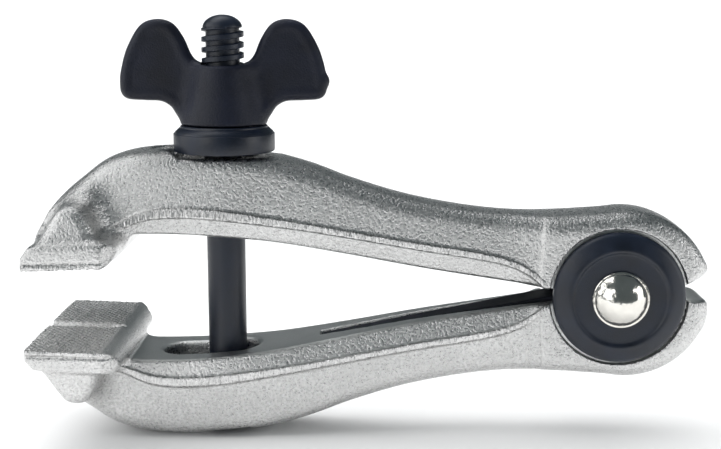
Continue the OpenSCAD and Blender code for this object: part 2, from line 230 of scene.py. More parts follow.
def net_surface(values, axes):
    """The zero level of a field given on a grid of points: one vertex in each cell that the level
    passes through, at the mean of its crossings with the cell's edges, and one four-sided face
    for each grid edge that it crosses."""
    inside = values < 0
    total = sum(inside[c[0]:inside.shape[0] - 1 + c[0], c[1]:inside.shape[1] - 1 + c[1],
                       c[2]:inside.shape[2] - 1 + c[2]].astype(np.int8) for c in CORNERS)
    crossed = (total > 0) & (total < 8)
    number = np.full(crossed.shape, -1, np.int64)
    cells = np.stack(np.nonzero(crossed), 1)
    number[crossed] = np.arange(len(cells))
    place = np.zeros((len(cells), 3))
    count = np.zeros(len(cells))
    for p, q in EDGES:
        a, b = cells + CORNERS[p], cells + CORNERS[q]
        va, vb = values[tuple(a.T)], values[tuple(b.T)]
        cut = (va < 0) != (vb < 0)
        share = np.where(cut, va / np.where(cut, va - vb, 1.0), 0.0)
        pa = np.stack([axes[n][a[:, n]] for n in range(3)], 1)
        pb = np.stack([axes[n][b[:, n]] for n in range(3)], 1)
        place += cut[:, None] * (pa + (pb - pa) * share[:, None])
        count += cut
    place /= count[:, None]
    faces = []
    for axis in range(3):
        low = np.take(inside, range(inside.shape[axis] - 1), axis)
        high = np.take(inside, range(1, inside.shape[axis]), axis)
        edge = np.stack(np.nonzero(low != high), 1)
        outward = low[tuple(edge.T)]
        u, v = (axis + 1) % 3, (axis + 2) % 3
        ring = []
        for du, dv in ((-1, -1), (0, -1), (0, 0), (-1, 0)):
            cell = edge.copy()
            cell[:, u] += du
            cell[:, v] += dv
            ring.append(number[tuple(cell.T)])
        ring = np.stack(ring, 1)
        faces.append(np.where(outward[:, None], ring, ring[:, ::-1]))
    return place, np.vstack(faces)


def slope(field, points, reach):
    """The field's gradient at points, from differences over a short reach each way."""
    columns = []
    for axis in range(3):
        shift = np.zeros(3)
        shift[axis] = reach
        ahead, behind = points + shift, points - shift
        columns.append((field(*ahead.T) - field(*behind.T)) / (2 * reach))
    return np.stack(columns, 1)


def settled(field, points, limit, rounds=3):
    """Points moved on to the field's zero level along its gradient (Newton steps)."""
    for _ in range(rounds):
        steep = slope(field, points, 0.05)
        step = -(field(*points.T) / np.maximum((steep ** 2).sum(1), 0.05))[:, None] * steep
        size = np.linalg.norm(step, axis=1, keepdims=True)
        points = points + step * np.minimum(1.0, limit / np.maximum(size, 1e-9))
    return points


def field_shape(field, axes, slab=48):
    """Vertices, faces and normals of a field's zero level on a grid with uneven steps."""
    parts = []
    for start in range(0, len(axes[0]), slab):
        x = axes[0][start:start + slab]
        grid = field(x[:, None, None], axes[1][None, :, None], axes[2][None, None, :])
        parts.append(np.broadcast_to(grid, (len(x), len(axes[1]), len(axes[2]))))
    points, faces = net_surface(np.concatenate(parts), axes)
    step = min(np.diff(axes[0]).min(), np.diff(axes[1]).min())
    points = settled(field, points, step * 0.6)
    normals = slope(field, points, 0.12)
    return points, faces, normals / np.maximum(np.linalg.norm(normals, axis=1), 1e-9)[:, None]


def turned(profile, around=96, ring=False):
    """A closed surface: a profile of (radius, height) points turned about Z. The profile of a ring
    is itself closed, and any other starts and ends near the axis."""
    profile = np.asarray(profile, float)
    angle = np.linspace(0, 2 * np.pi, around, endpoint=False)
    points = np.stack([profile[:, 0, None] * np.cos(angle), profile[:, 0, None] * np.sin(angle),
                       np.repeat(profile[:, 1, None], around, 1)], 2)
    return grid_shape(points, ring)


def grid_shape(points, ring=False):
    """Vertices and faces of a grid of points that is closed round its second side. A ring is also
    closed round its first side, and any other grid gets a fan on its first and its last row."""
    rows, around = points.shape[:2]
    row, turn = np.meshgrid(np.arange(rows if ring else rows - 1), np.arange(around), indexing="ij")
    after, above = (turn + 1) % around, (row + 1) % rows
    quads = np.stack([row * around + turn, row * around + after,
                      above * around + after, above * around + turn], 2).reshape(-1, 4)
    vertices = points.reshape(-1, 3)
    if ring:
        return vertices, [quads]
    low, high = len(vertices), len(vertices) + 1
    vertices = np.vstack([vertices, points[0].mean(0), points[-1].mean(0)])
    turn = np.arange(around)
    after = (turn + 1) % around
    last = (rows - 1) * around
    fans = np.vstack([np.stack([after, turn, np.full(around, low)], 1),
                      np.stack([last + turn, last + after, np.full(around, high)], 1)])
    return vertices, [quads, fans]


def swung(points, upper=False):
    """Points of the closed arm in the opened vice, mirrored for the upper arm."""
    half = bpy.context.scene.vice_arms.open_angle / 2
    x, y, z = points[:, 0], points[:, 1], points[:, 2]
    opened = np.stack([x * math.cos(half) - z * math.sin(half), y,
                       x * math.sin(half) + z * math.cos(half)], 1)
    return opened * np.array([1, 1, -1 if upper else 1])


def make_piece(name, vertices, faces, material, normals=None, marks=None, sharp_angle=None):
    """A mesh object from an array of vertices (millimetres from the hinge axis) and a list of
    arrays of faces, each with three or four corners. Shading follows the normals when they are
    given, and else the faces."""
    mesh = bpy.data.meshes.new(name)
    corners = np.concatenate([f.ravel() for f in faces])
    sizes = np.concatenate([np.full(len(f), f.shape[1]) for f in faces])
    mesh.vertices.add(len(vertices))
    mesh.vertices.foreach_set("co", ((vertices + PIVOT) * MM).astype(np.float32).ravel())
    mesh.loops.add(len(corners))
    mesh.loops.foreach_set("vertex_index", corners.astype(np.int32))
    mesh.polygons.add(len(sizes))
    mesh.polygons.foreach_set("loop_start", (np.cumsum(sizes) - sizes).astype(np.int32))
    mesh.polygons.foreach_set("loop_total", sizes.astype(np.int32))
    mesh.polygons.foreach_set("use_smooth", np.ones(len(sizes), bool))
    for mark, values in (marks or {}).items():
        attribute = mesh.attributes.new(mark, "FLOAT", "POINT")
        attribute.data.foreach_set("value", values.astype(np.float32))
    mesh.update(calc_edges=True)
    if normals is not None:
        mesh.normals_split_custom_set_from_vertices(normals.tolist())
    if sharp_angle is not None:
        mesh.set_sharp_from_angle(angle=sharp_angle)
    mesh.materials.append(material)
    piece = bpy.data.objects.new(name, mesh)
    bpy.context.scene.collection.objects.link(piece)
    return piece


# ---- Materials ----

class Nodes:
    """A short way to write a material's nodes."""

    def __init__(self, name):
        self.material = bpy.data.materials.new(name)
        self.material.use_nodes = True
        self.tree = self.material.node_tree
        self.shader = self.tree.nodes["Principled BSDF"]
        self.place = self.add("ShaderNodeTexCoord").outputs["Object"]

    def add(self, kind, settings=None, **sockets):
        """A node with its settings and inputs. An underscore stands for a space."""
        node = self.tree.nodes.new(kind)
        for key, value in (settings or {}).items():
            setattr(node, key, value)
        for key, value in sockets.items():
            self.set(node.inputs[key.replace("_", " ")], value)
        return node

    def set(self, socket, value):
        """Links an output to a socket, or puts a constant on it."""
        if isinstance(value, bpy.types.NodeSocket):
            self.tree.links.new(value, socket)
        else:
            socket.default_value = value

    def noise(self, size, detail=2.0, roughness=0.5, vector=None):
        """Noise whose features are about the given size in metres."""
        node = self.add("ShaderNodeTexNoise", Scale=1.0 / size, Detail=detail,
                        Roughness=roughness, Vector=vector or self.place)
        return node.outputs["Fac"]

    def spread(self, value, low, high, out_low=0.0, out_high=1.0):
        """A value from low to high, stretched to another range and held inside it."""
        node = self.add("ShaderNodeMapRange", {"clamp": True}, Value=value, From_Min=low,
                        From_Max=high, To_Min=out_low, To_Max=out_high)
        return node.outputs["Result"]

    def math(self, operation, first, second):
        """One sum of two values."""
        node = self.add("ShaderNodeMath", {"operation": operation})
        self.set(node.inputs[0], first)
        self.set(node.inputs[1], second)
        return node.outputs[0]

    def mix(self, share, first, second):
        """A colour between two, by a share from 0 to 1."""
        node = self.add("ShaderNodeMix", {"data_type": "RGBA"})
        self.set(node.inputs["Factor"], share)
        self.set(node.inputs["A"], first)
        self.set(node.inputs["B"], second)
        return node.outputs["Result"]

    def stretched(self, x, y, z):
        """Object coordinates scaled on each axis."""
        return self.add("ShaderNodeMapping", Vector=self.place, Scale=(x, y, z)).outputs[0]

    def bump(self, height, distance, strength=1.0, normal=None):
        """A normal bent by a height, on top of another bend if there is one."""
        node = self.add("ShaderNodeBump", Height=height, Distance=distance, Strength=strength)
        if normal is not None:
            self.set(node.inputs["Normal"], normal)
        return node.outputs["Normal"]

    def mark(self, name):
        """A mark stored on the mesh."""
        return self.add("ShaderNodeAttribute", {"attribute_name": name}).outputs["Fac"]

    def finish(self, **sockets):
        """Sets the shader's inputs and gives the material."""
        for key, value in sockets.items():
            self.set(self.shader.inputs[key.replace("_", " ")], value)
        return self.material


def shade(colour, factor=1.0):
    """A colour made lighter or darker, with full opacity."""
    return (*[min(1.0, c * factor) for c in colour], 1.0)


def nickel_material():
    """Bright nickel over a blasted forging. The trim mark is 1 on sheared flash, where the grain
    gives way to upright shear lines, and the smooth mark is 1 on milled and pressed faces."""
    finish = bpy.context.scene.vice_finish
    n = Nodes("nickel_plate")
    trim = n.mark("trim")
    smooth = n.mark("smooth")
    grain = n.noise(finish.grain * 1.15, 2.5, 0.6)
    fine = n.noise(finish.grain * 0.6, 2.0, 0.6)
    broad = n.noise(11 * MM, 3.0, 0.55)
    shear = n.noise(0.5 * MM, 2.0, 0.6, n.stretched(1.0, 1.0, 0.12))
    even = n.math("MAXIMUM", trim, n.math("MULTIPLY", smooth, 0.62))
    rough_share = n.math("SUBTRACT", 1.0, even)
    blasted = n.math("MULTIPLY", n.math("ADD", grain, n.math("MULTIPLY", fine, 0.35)), rough_share)
    sheared = n.math("MULTIPLY", shear, n.math("MULTIPLY", trim, 3.2))
    height = n.math("ADD", blasted, sheared)
    normal = n.bump(height, 0.24 * MM, 1.0)
    normal = n.bump(broad, 0.25 * MM, 0.35, normal)
    cloud = n.spread(broad, 0.35, 0.65)
    tone = n.mix(cloud, shade(finish.nickel, 0.92), shade(finish.nickel, 1.04))
    # Painted shade: where the grain dips into its pits the nickel is darkened to 0.78 of its colour,
    # as if shade lay in the pits; milled and pressed faces are left out of it.
    pits = n.spread(grain, 0.38, 0.6)
    pit_shaded = n.mix(n.math("MAXIMUM", pits, smooth), shade(finish.nickel, 0.78), tone)
    colour = n.mix(n.math("MULTIPLY", smooth, 0.35), pit_shaded, shade((0.62, 0.65, 0.64)))
    roughness = n.spread(grain, 0.3, 0.7, 0.24, 0.36)
    roughness = n.math("ADD", roughness, n.math("MULTIPLY", smooth, 0.05))
    return n.finish(Base_Color=colour, Metallic=1.0, Roughness=roughness, Normal=normal)


def spring_material():
    """Blued spring steel with faint lengthwise rolling marks."""
    n = Nodes("spring_steel")
    rolled = n.noise(0.4 * MM, 3.0, 0.6, n.stretched(0.06, 1.0, 0.06))
    cloud = n.noise(6 * MM, 2.0)
    colour = n.mix(n.spread(cloud, 0.35, 0.65), (0.008, 0.009, 0.013, 1), (0.016, 0.018, 0.026, 1))
    return n.finish(Base_Color=colour, Metallic=0.0, Roughness=n.spread(rolled, 0.3, 0.7, 0.46, 0.56),
                    Specular_IOR_Level=0.16, Normal=n.bump(rolled, 0.02 * MM, 0.5))


def polished_material():
    """Polished steel with hair scratches and a few small dents from riveting."""
    finish = bpy.context.scene.vice_finish
    n = Nodes("polished_steel")
    hair = n.noise(0.25 * MM, 3.0, 0.7, n.stretched(1.0, 0.3, 0.15))
    dents = n.noise(2.2 * MM, 2.0, 0.5)
    normal = n.bump(dents, 0.2 * MM, 1.0, n.bump(hair, 0.006 * MM, 0.4))
    tone = n.mix(n.spread(dents, 0.4, 0.6), shade(finish.polish, 0.96), shade(finish.polish, 1.03))
    return n.finish(Base_Color=tone, Metallic=1.0, Roughness=n.spread(hair, 0.3, 0.7, 0.12, 0.2),
                    Normal=normal)


def black_material():
    """Satin black oxide on turned steel, a little lighter where handling has rubbed it."""
    finish = bpy.context.scene.vice_finish
    n = Nodes("black_oxide")
    fine = n.noise(0.22 * MM, 3.0, 0.6)
    cloud = n.noise(5 * MM, 3.0, 0.5)
    colour = n.mix(n.spread(cloud, 0.35, 0.7), shade(finish.black, 0.9), shade(finish.black, 1.7))
    return n.finish(Base_Color=colour, Metallic=0.0, Roughness=n.spread(cloud, 0.3, 0.7, 0.34, 0.44),
                    Specular_IOR_Level=0.56, Normal=n.bump(fine, 0.045 * MM, 0.8))


def casting_material():
    """Black coated casting with a fine even grain."""
    finish = bpy.context.scene.vice_finish
    n = Nodes("black_casting")
    grain = n.noise(0.34 * MM, 3.0, 0.62)
    cloud = n.noise(6 * MM, 3.0, 0.5)
    colour = n.mix(n.spread(cloud, 0.3, 0.7), shade(finish.casting, 0.85), shade(finish.casting, 1.7))
    return n.finish(Base_Color=colour, Metallic=0.0, Roughness=n.spread(grain, 0.3, 0.7, 0.40, 0.54),
                    Specular_IOR_Level=0.36, Normal=n.bump(grain, 0.12 * MM, 1.0))


MATERIALS = {}


def material(slot):
    """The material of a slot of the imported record, made once."""
    makers = {"nickel_plate": nickel_material, "spring_steel": spring_material,
              "polished_steel": polished_material, "black_oxide": black_material,
              "black_casting": casting_material}
    if slot not in MATERIALS:
        MATERIALS[slot] = makers[slot]()
    return MATERIALS[slot]


def finished(name, vertices, faces, slot, body, nodes, **options):
    """The piece with its material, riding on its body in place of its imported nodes."""
    options.setdefault("sharp_angle", math.radians(32))
    piece = make_piece(name, vertices, faces, material(slot), **options)
    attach(piece, body)
    if nodes:
        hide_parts(*nodes)
    return piece


# ---- Arms ----

# Gripping face, and half width of the rib under it
JAW_TIP = -110.3
FACE_END = -95.8
FACE_SLOPE = math.radians(5.8)
RIB_HALF = 18.9
# Round of the hinge end, spot-face for a cup disc, boss in the cup, pocket for the spring's loop
KNUCKLE = (1.8, 0.0)
KNUCKLE_R = 16.3
SPOT_R, SPOT_Y = 13.1, 6.5
BOSS_R, BOSS_Y = 9.7, 8.15
POCKET_R, POCKET_Y = 5.8, 4.1
# Slope of the cut over a tail, for the upper and the lower arm, and where the upper one steepens
TAIL_TILT = (math.radians(9.5), math.radians(6.5))
STEEP_X, STEEP_TILT = 10.5, math.radians(30.0)
# Ends of the slot from the screw's axis and its half width
SLOT_FRONT, SLOT_REAR, SLOT_R = 8.1, 1.9, 4.3
# The seat for the ring in the same way, its gap, and the shallow dish in front of it
SEAT_FRONT, SEAT_REAR, SEAT_R, SEAT_GAP = 1.4, 1.2, 9.9, 0.25
DISH_FRONT, DISH_R, DISH_RISE = 8.6, 5.2, 0.75
HEAD_TROUGH_R = 4.55
# A leg of the spring: where it starts and ends, height and fall of its top, thickness and half
# width at its root and its tip, and the radius of the loop round the rivet
LEAF_ROOT, LEAF_TIP = -9.5, -57.0
LEAF_TOP, LEAF_FALL = 0.55, 0.1305
LEAF_THICK, LEAF_TIP_THICK = 1.2, 0.9
LEAF_HALF, LEAF_TIP_HALF = 3.88, 1.48
LOOP_R = 4.8

# The inner face of an arm and the crown of its back, as stations from the jaw to the hinge
INNER = [(-101, -5.7), (-96, -6.0), (-90, -6.45), (-84, -6.75), (-78, -6.8), (-66, -6.25),
         (-53, -4.75), (-38, -2.85), (-26, -1.7), (-13, -0.62), (-6, -0.05)]
BACK = [(-108.9, -5.2), (-106.5, -10.7), (-101.2, -17.4), (-95.5, -20.75), (-87.5, -22.35),
        (-78.8, -22.7), (-69, -22.4), (-60.3, -20.8), (-52, -18.3), (-42, -15.95), (-32, -14.6),
        (-23, -14.1), (-14, -14.35), (-6, -15.25)]
# Middle height and half height of the trimmed flash along an arm's side
FLASH = [(-97, -6.4), (-93.5, -8.3), (-89.5, -10.1), (-84, -10.95), (-76, -11.0), (-63, -10.0),
         (-50, -8.55), (-38, -7.15), (-28, -6.2), (-21.5, -5.2), (-17.5, -3.7), (-14.5, -1.6),
         (-12, 1.2), (0, 3.0)]
FLASH_HALF = [(-97, 0.6), (-88, 0.9), (-76, 0.9), (-62, 0.7), (-50, 0.62), (-30, 0.65), (-12, 0.6)]
# Half width of an arm at the flash, and of its inner face
WIDTH = [(-104, 9.0), (-92, 9.7), (-80, 9.85), (-70, 9.4), (-54, 8.3), (-38, 7.45), (-26, 7.15),
         (-18.5, 7.1), (-15.5, 7.2), (-12.5, 7.75), (8, 7.75), (20, 7.6)]
INNER_WIDTH = [(-104, 9.0), (-84, 9.1), (-78, 9.0), (-70, 8.2), (-54, 6.6), (-38, 5.75),
               (-24, 5.6), (-12, 5.9), (20, 6.2)]


def arm_outline():
    """Side view of the closed arm: along the inner face, round the hinge end, back under."""
    inner = through(INNER, 8)
    end = arc(KNUCKLE, KNUCKLE_R, 0, -104, 60)
    back = through([tuple(end[-1])] + BACK[::-1], 10)[1:]
    return Outline(np.vstack([[(-107, -4.6)], inner, [(0, -0.03), (17, -0.03)], end, back]))


def rib_outline():
    """Side view of the rounded rib under the jaw plate."""
    lobe = through([(-108.2, -3.6), (-107.8, -5.0), (-106.6, -7.4), (-105.5, -9.6), (-104.2, -11.5),
                    (-102.0, -12.1), (-100.0, -11.4), (-98.4, -9.0), (-97.3, -6.6),
                    (-95.9, -5.0), (-95.6, -3.6)], 8)
    return Outline(lobe)


def plate_outline():
    """Side view of the jaw plate with its rounded heel."""
    face_z = (JAW_TIP - FACE_END) * math.tan(FACE_SLOPE)
    heel = through([(FACE_END, face_z), (-94.7, face_z - 0.75), (-93.7, face_z - 2.1),
                    (-93.4, face_z - 3.5), (-94.3, -6.0), (-96.2, -5.8)], 8)
    return Outline(np.vstack([[(JAW_TIP, 0.0)], heel, [(-108.9, -4.3), (JAW_TIP + 0.05, -2.5)]]))


def plan_outline(points):
    """A closed outline in plan from one side's stations, mirrored across the middle plane."""
    points = np.asarray(points, float)
    return Outline(np.vstack([points, points[::-1] * (1, -1)]), margin=4.0)


class ArmField:
    """The forged arm as a field: negative inside, zero on the surface, about a millimetre of
    value for each millimetre of distance. The body is the side view cut by drafted sides, the
    rib and the plate of the jaw are blended on to it, and the hinge, spring, slot, seat and
    knurl are cut from it."""

    def __init__(self, upper):
        arms = bpy.context.scene.vice_arms
        self.upper = upper
        self.half = arms.open_angle / 2
        self.pitch = arms.knurl_pitch / MM
        self.knurl = arms.knurl_depth / MM
        self.groove = (arms.groove_width / MM / 2, arms.groove_depth / MM)
        self.ledge = arms.flash_out / MM
        self.draft = math.tan(arms.side_draft)
        self.arm = arm_outline()
        self.rib = rib_outline()
        self.plate = plate_outline()
        self.leaf = plan_outline([(LEAF_TIP - 0.2, LEAF_TIP_HALF + 0.12), (LEAF_ROOT - 2, POCKET_Y),
                                  (POCKET_R + 3, POCKET_Y)])

    def body(self, x, y, z):
        """The side view, cut by sides that stand out in a band of trimmed flash, lean inwards
        above it to the inner face and below it to the back."""
        inner = curve_value(x, INNER)
        middle = curve_value(x, FLASH)
        band = curve_value(x, FLASH_HALF)
        width = curve_value(x, WIDTH)
        lean = (width - 0.25 - curve_value(x, INNER_WIDTH)) / np.maximum(inner - middle - band, 1.0)
        above = z - (middle + band)
        below = (middle - band) - z
        hinge = ramp(x, -24, -12)
        draft = self.draft * (1 - 0.85 * hinge)
        half_width = width - 0.3 * ramp(above, -0.2, 0.4)
        half_width = half_width - np.clip(lean, 0, 0.6) * np.maximum(above, 0)
        half_width = half_width - self.ledge * (1 - hinge) * ramp(below, -0.2, 0.45)
        half_width = half_width - draft * np.maximum(below, 0)
        deep = ramp(inner - z, 3.0, 9.0)
        side_view = self.arm(x, z) + (0.9 - 0.4 * hinge) * deep * (y / 8.0) ** 2
        edge = 0.7 + deep * (2.0 + 0.6 * hinge)
        return soft_max(side_view, (np.abs(y) - half_width) * 0.985, edge)

    def jaw(self, x, y, z, body):
        """The full-width rib melts into the body in wide fillets, and the plate lies on it with
        a tight crease. The plate's ends are sheared above a parting line and forged below it."""
        rib_half = RIB_HALF - 0.24 * np.maximum(-5.0 - z, 0)
        rib = soft_max(self.rib(x, z), np.abs(y) - rib_half, 2.2)
        shape = soft_min(body, rib, 5.5)
        corner = 2.4 * ramp(x, -96.3, -92.6)
        parting = np.maximum(0.4 - np.abs(z + 1.5 + (x - JAW_TIP) * 0.09), 0)
        plate_half = JAW_HALF - corner - 0.8 * parting - 0.10 * np.maximum(-z - 1.5, 0)
        plate = soft_max(self.plate(x, z), np.abs(y) - plate_half, 0.8)
        return soft_min(shape, plate, 2.4 if self.upper else 1.1)

    def gripping_face(self, x, y, z, shape):
        """Two sets of V-cuts cross at right angles on the face, and one wide V runs along it."""
        face = z + (x - JAW_TIP) * math.sin(FACE_SLOPE)
        apart = self.pitch * 1.36
        first = np.abs(((x + y * 0.92) / apart) % 1.0 - 0.5) * 2
        second = np.abs(((x * 0.92 - y) / apart) % 1.0 - 0.5) * 2
        cut = self.knurl * (1.0 - np.minimum(first, second) * 1.1)
        on_face = ramp(-x, -FACE_END + 0.1, -FACE_END + 1.0) * ramp(face, -1.2, -0.8)
        on_face = on_face * (1 - ramp(np.abs(y), JAW_HALF - 0.5, JAW_HALF - 0.15))
        shape = shape + np.clip(cut, 0, self.knurl) * on_face
        half, deep = self.groove
        past = x - FACE_END
        level = face + deep * (1 - np.abs(y) / half)
        level = level - 0.45 * np.maximum(past + 2.5, 0) - 9 * ramp(past, 1, 4)
        return soft_max(shape, level, 0.25)

    def hinge(self, x, y, z, shape):
        """The tail is cut back to let the jaws open and rounded in plan. The sides are spot-faced
        for the cup discs, half-round bosses stand in them, and the pin and the loop of the spring
        have their holes."""
        tilt = TAIL_TILT[0] if self.upper else TAIL_TILT[1]
        shape = soft_max(shape, z * math.cos(tilt) + np.maximum(x, -2.0) * math.sin(tilt),
                         0.5 + 2.2 * ramp(x, 11, 16))
        end = np.hypot(np.maximum(x - 11.9, 0), np.maximum(np.abs(y) - 1.6, 0)) - 6.25
        shape = soft_max(shape, end - 24.0 * (1 - ramp(x, 10.4, 11.9)), 0.8)
        if self.upper:
            above = z + STEEP_X * math.tan(tilt)
            steep = above * math.cos(STEEP_TILT) + (x - STEEP_X) * math.sin(STEEP_TILT)
            shape = soft_max(shape, steep, 1.4)
        radius = np.sqrt(x * x + z * z)
        spot = np.maximum(radius - SPOT_R, SPOT_Y - np.abs(y))
        shape = soft_max(shape, -spot, 0.2)
        boss = np.maximum(np.maximum(radius - BOSS_R, np.abs(y) - BOSS_Y), z + 0.05)
        shape = np.minimum(shape, boss)
        shape = soft_max(shape, PIN_R - radius, 0.15)
        pocket = np.maximum(radius - POCKET_R, np.abs(y) - POCKET_Y)
        return np.maximum(shape, -pocket)

    def spring_groove(self, x, y, z, shape):
        """The groove for a leg of the spring tapers in plan and in depth."""
        far = LEAF_ROOT - x
        floor = LEAF_TOP - LEAF_FALL * far - (LEAF_THICK + 0.35 - 0.0065 * far)
        trough = soft_max(self.leaf(x, y), floor - z, 0.5)
        return soft_max(shape, -trough, 0.35)

    def screw_cuts(self, x, y, z, shape):
        """Slot, trough and seat are square to the screw, so they are worked out in the opened
        vice's frame. The lower arm has a half-round trough for the cross head in its back, and
        the upper arm a flat oblong seat for the ring."""
        across = x * math.cos(self.half) - z * math.sin(self.half)
        height = x * math.sin(self.half) + z * math.cos(self.half)

        def oblong(front, rear, radius):
            run = np.clip(across, SCREW_X - front, SCREW_X + rear)
            return np.sqrt((across - run) ** 2 + y * y) - radius

        shape = soft_max(shape, -oblong(SLOT_FRONT, SLOT_REAR, SLOT_R), 1.1)
        if self.upper:
            over = height + RING_LOW[2]
            seat = np.maximum(oblong(SEAT_FRONT, SEAT_REAR, SEAT_R), over - SEAT_GAP)
            shape = soft_max(shape, -seat, 0.6)
            dish = np.maximum(oblong(DISH_FRONT, 0.0, DISH_R), over + DISH_RISE)
            return soft_max(shape, -dish, 0.7)
        radius = np.sqrt((across - SCREW_X) ** 2 + (height - HEAD_Z) ** 2) - HEAD_TROUGH_R
        open_side = np.maximum(np.abs(across - SCREW_X) - HEAD_TROUGH_R, height - HEAD_Z)
        trough = np.maximum(np.minimum(radius, open_side), np.abs(y) - HEAD_HALF - 0.3)
        return soft_max(shape, -trough, 0.5)

    def __call__(self, x, y, z):
        shape = self.jaw(x, y, z, self.body(x, y, z))
        shape = self.gripping_face(x, y, z, shape)
        shape = self.hinge(x, y, z, shape)
        shape = self.spring_groove(x, y, z, shape)
        return self.screw_cuts(x, y, z, shape)

    def marks(self, points, normals):
        """Where the surface is sheared (trim) and where it is milled or pressed smooth."""
        x, y, z = points.T
        flash = np.abs(z - curve_value(x, FLASH)) - curve_value(x, FLASH_HALF)
        on_side = (np.abs(y) < 11) * ramp(np.abs(normals[:, 1]), 0.5, 0.8)
        on_band = ramp(-flash, -0.1, 0.1) * on_side * ramp(-x, 13, 15)
        on_plate = ramp(np.abs(y), JAW_HALF - 0.3, JAW_HALF - 0.1) * ramp(z, -1.6, -1.3)
        trim = np.maximum(on_band * (x > -96), on_plate)
        inner = ramp(normals[:, 2], 0.5, 0.8) * ramp(x, FACE_END - 1.0, FACE_END + 2.0)
        spot = (np.hypot(x, z) < SPOT_R) * 1.0
        return {"trim": trim, "smooth": np.clip(inner + spot, 0, 1)}


def arm_axes(cell):
    """Grid lines for an arm: close together over the knurled jaw, wider along the arm."""
    fine = cell * 0.6
    x = np.concatenate([np.arange(-111.2, -92.4, fine), np.arange(-92.4, 19.2, cell * 1.05)])
    y_half = np.arange(cell * 0.33, 21.0, cell * 0.7)
    y = np.concatenate([-y_half[::-1], y_half])
    z = np.arange(-24.4, 1.3, cell * 0.85)
    return [x, y, z]


def build_arm(name, upper):
    """One arm from its field, placed in the opened vice."""
    field = ArmField(upper)
    cell = bpy.context.scene.vice_arms.cell / MM * 1.0
    points, faces, normals = field_shape(field, arm_axes(cell))
    marks = field.marks(points, normals)
    points, normals = swung(points, upper), swung(normals, upper)
    if upper:
        faces = faces[:, ::-1]
    finished(name + "_forging", points, [faces], "nickel_plate", name, [name],
             normals=normals, marks=marks, sharp_angle=None)


# ---- Spring ----

def leaf_line():
    """Centre line of the leaf in the opened vice, from the lower tip round the loop behind the
    rivet to the upper tip, as (x, z) points, with the distance share from root to tip."""
    x = np.linspace(LEAF_TIP, LEAF_ROOT, 60)
    far = (LEAF_ROOT - x) / (LEAF_ROOT - LEAF_TIP)
    top = LEAF_TOP + (x - LEAF_ROOT) * LEAF_FALL
    z = top - (LEAF_THICK + (LEAF_TIP_THICK - LEAF_THICK) * far) / 2
    leg = swung(np.stack([x, 0 * x, z], 1))[:, ::2]
    loop = arc((0, 0), LOOP_R, -142, 0, 40)
    bend = through([leg[-2], leg[-1], (-6.6, -1.75), (-4.75, -2.45), loop[2]], 8)[8:-8]
    lower = np.vstack([leg, bend, loop[2:]])
    far = np.concatenate([far, np.zeros(len(lower) - len(far))])
    return np.vstack([lower, lower[-2::-1] * (1, -1)]), np.concatenate([far, far[-2::-1]])


def leaf_shape():
    """A rounded strip carried along the leaf's line: the section is a flat superellipse whose
    width tapers to the tips and whose thickness tapers less."""
    line, far = leaf_line()
    along = np.gradient(line, axis=0)
    along /= np.linalg.norm(along, axis=1)[:, None]
    across = np.stack([-along[:, 1], along[:, 0]], 1)
    width = LEAF_HALF + (LEAF_TIP_HALF - LEAF_HALF) * far
    thick = (LEAF_THICK + (LEAF_TIP_THICK - LEAF_THICK) * far) / 2
    turn = np.linspace(0, 2 * np.pi, 40, endpoint=False)
    power = 0.22
    cy = np.sign(np.cos(turn)) * np.abs(np.cos(turn)) ** power
    cz = np.sign(np.sin(turn)) * np.abs(np.sin(turn)) ** power
    ends = np.ones(len(line))
    ends[[0, -1]] = 0.94
    lift = cz * (thick * ends)[:, None]
    points = np.stack([line[:, 0, None] + across[:, 0, None] * lift,
                       cy * (width * ends)[:, None],
                       line[:, 1, None] + across[:, 1, None] * lift], 2)
    return grid_shape(points)


# ---- Turned pieces ----

def stand_across(vertices, side):
    """Turns a shape made along Z so that it points along Y, towards +Y or -Y."""
    x, y, z = vertices.T
    return np.stack([x, side * z, -side * y], 1)


def cap_profile():
    """Half section of a cup disc, from the hole round the face and the rim to the hollow."""
    height = CAP_HIGH[1] - CAP_LOW[1]
    radius = (CAP_HIGH[0] - CAP_LOW[0]) / 2
    face = [(PIN_R, height - 0.38), (6.4, height - 0.38), (8.3, height - 0.34), (8.75, height - 0.22),
            (9.05, height - 0.04), (9.5, height), (10.2, height - 0.2), (11.3, height - 0.68),
            (11.95, height - 1.05), (radius - 0.1, height - 1.6), (radius, height - 2.1)]
    rim = [(radius, 0.25), (radius - 0.25, 0.0), (radius - 2.7, 0.0), (radius - 2.7, height - 1.3),
           (PIN_R, height - 1.3)]
    return np.vstack([through(face, 8), rim])[::-1]


def rivet_profile():
    """Half section of the rivet's head: a thin collar and a dome on it, down to the shank."""
    shank, dome = 3.95, 4.98
    low = CAP_HIGH[1] - 0.35
    base = low + 0.62
    collar = [(shank, 0.0), (shank, low), (5.25, low), (5.36, low + 0.12), (5.38, low + 0.42),
              (5.25, low + 0.58), (5.02, base)]
    rise = RIVET_TOP - base
    radius = (dome ** 2 + rise ** 2) / (2 * rise)
    angle = np.linspace(math.asin(dome / radius), 0.0, 30)[:-1]
    cap = np.stack([radius * np.sin(angle), RIVET_TOP - radius + radius * np.cos(angle)], 1)
    return np.vstack([collar, cap, [(0.02, RIVET_TOP)]])


